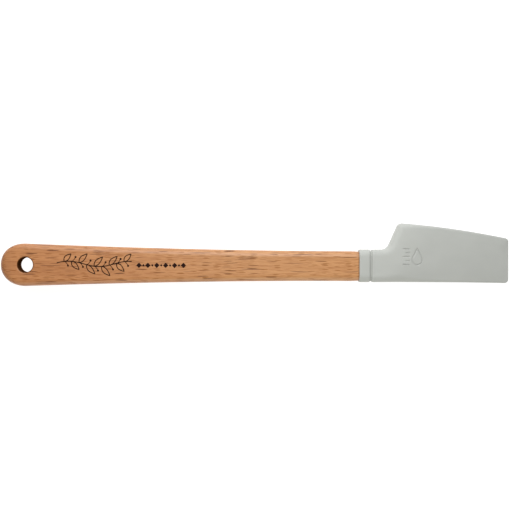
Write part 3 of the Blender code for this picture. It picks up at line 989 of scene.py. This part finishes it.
def ink_material():
    """Dark printing ink, slightly worn along the grain."""
    nodes = Nodes("dark_ink")
    place = nodes.object_coordinates()
    wear = nodes.noise(nodes.scaled(place, (900, 6000, 6000)), detail=2.0)
    colour = nodes.mix(nodes.remap(wear, 0.45, 0.8), FRESH_INK, WORN_INK)
    return nodes.finish(colour, nodes.remap(wear, 0.3, 0.7, 0.6, 0.75), Specular_IOR_Level=0.12)


def plain_material(name, colour, rough_low, rough_high, scale):
    """A plain moulded or cured plastic with a fine speckle."""
    nodes = Nodes(name)
    speckle = nodes.noise(nodes.object_coordinates(), scale=scale, detail=3.0)
    deep = tuple(c * 0.9 for c in colour) + (1,)
    base = nodes.mix(nodes.remap(speckle, 0.3, 0.7), deep, tuple(colour) + (1,))
    normal = nodes.bump(speckle, 0.00001, 0.4)
    return nodes.finish(base, nodes.remap(speckle, 0.3, 0.7, rough_low, rough_high), normal)


def finish_inner_nodes():
    """The insert and its glue stay as the CAD made them, with better materials."""
    looks = {
        "core_insert": plain_material("moulded_nylon", NYLON, 0.4, 0.55, 1500.0),
        "core_adhesive": plain_material("cured_epoxy", EPOXY, 0.15, 0.35, 900.0),
    }
    for node, material in looks.items():
        mesh = frame["nodes"][node].data
        mesh.materials.clear()
        mesh.materials.append(material)


# Stage, light and camera


def make_stage():
    """A pale matte floor that glows a little, so that the tool lies without a hard shadow."""
    bpy.ops.mesh.primitive_plane_add(size=FLOOR_SIZE, location=(0, 0, COLLAR_LOW.z - FLOOR_DROP))
    floor = bpy.context.object
    floor.name = "floor"
    nodes = Nodes("pale_floor")
    soft = nodes.noise(nodes.object_coordinates(), scale=3.0, detail=2.0)
    colour = nodes.mix(soft, (0.39, 0.39, 0.39, 1), (0.41, 0.41, 0.41, 1))
    glow = {"Emission_Color": WHITE, "Emission_Strength": FLOOR_GLOW}
    floor.data.materials.append(nodes.finish(colour, 0.9, Specular_IOR_Level=0.1, **glow))


def area_light(name, place, size, power, depth=None, colour=(1, 1, 1)):
    """A lamp that looks at the middle of the tool and isn't seen itself. With a depth it is a strip."""
    data = bpy.data.lights.new(name, "AREA")
    data.size = size
    if depth is None:
        data.shape = "DISK"
    else:
        data.shape = "RECTANGLE"
        data.size_y = depth
    data.energy = power
    data.color = colour
    lamp = bpy.data.objects.new(name, data)
    lamp.location = place
    lamp.rotation_euler = (-Vector(place)).to_track_quat("-Z", "Y").to_euler()
    lamp.visible_camera = False
    bpy.context.scene.collection.objects.link(lamp)


def make_world():
    """Even light from all round, behind a plain white backdrop."""
    world = bpy.data.worlds.new("studio")
    world.use_nodes = True
    tree = world.node_tree
    lighting = tree.nodes["Background"]
    lighting.inputs["Color"].default_value = WHITE
    lighting.inputs["Strength"].default_value = SKY_LIGHT
    backdrop = tree.nodes.new("ShaderNodeBackground")
    backdrop.inputs["Color"].default_value = WHITE
    seen = tree.nodes.new("ShaderNodeMixShader")
    tree.links.new(tree.nodes.new("ShaderNodeLightPath").outputs["Is Camera Ray"], seen.inputs[0])
    tree.links.new(lighting.outputs[0], seen.inputs[1])
    tree.links.new(backdrop.outputs[0], seen.inputs[2])
    tree.links.new(seen.outputs[0], tree.nodes["World Output"].inputs["Surface"])
    bpy.context.scene.world = world


def make_lights():
    """A soft key over the handle, and a long strip on either side of the tool."""
    make_world()
    area_light("key", (-0.014, 0.10, 0.19), 0.16, 0.28)
    area_light("side_strip", (0.0, 0.30, 0.16), 0.40, 0.62, depth=0.22)
    area_light("near_strip", (0.0, -0.32, 0.13), 0.40, 0.40, depth=0.10, colour=(1.0, 0.98, 0.87))
    bpy.context.scene.view_settings.view_transform = "Standard"


def make_camera():
    """Straight above the tool, turned by the small angle at which it lies in the picture."""
    data = bpy.data.cameras.new("camera")
    data.lens = CAMERA_LENS
    data.clip_start, data.clip_end = CAMERA_RANGE
    camera = bpy.data.objects.new("camera", data)
    middle = (CAD_BOX[0] + CAD_BOX[1]) / 2
    camera.location = (middle.x, middle.y + CAMERA_SHIFT, middle.z + CAMERA_RISE)
    camera.rotation_euler = (0, 0, CAMERA_TURN)
    bpy.context.scene.collection.objects.link(camera)
    bpy.context.scene.camera = camera


def main():
    make_camera()
    make_lights()
    make_stage()
    make_handle(beech_material())
    make_ornament(ink_material())
    make_collar(silicone_material("collar_silicone_matte", COLLAR_SILICONE))
    pieces, splits = make_head(silicone_material("blade_silicone_matte", BLADE_SILICONE))
    bend_head(pieces)
    finish_inner_nodes()


main()
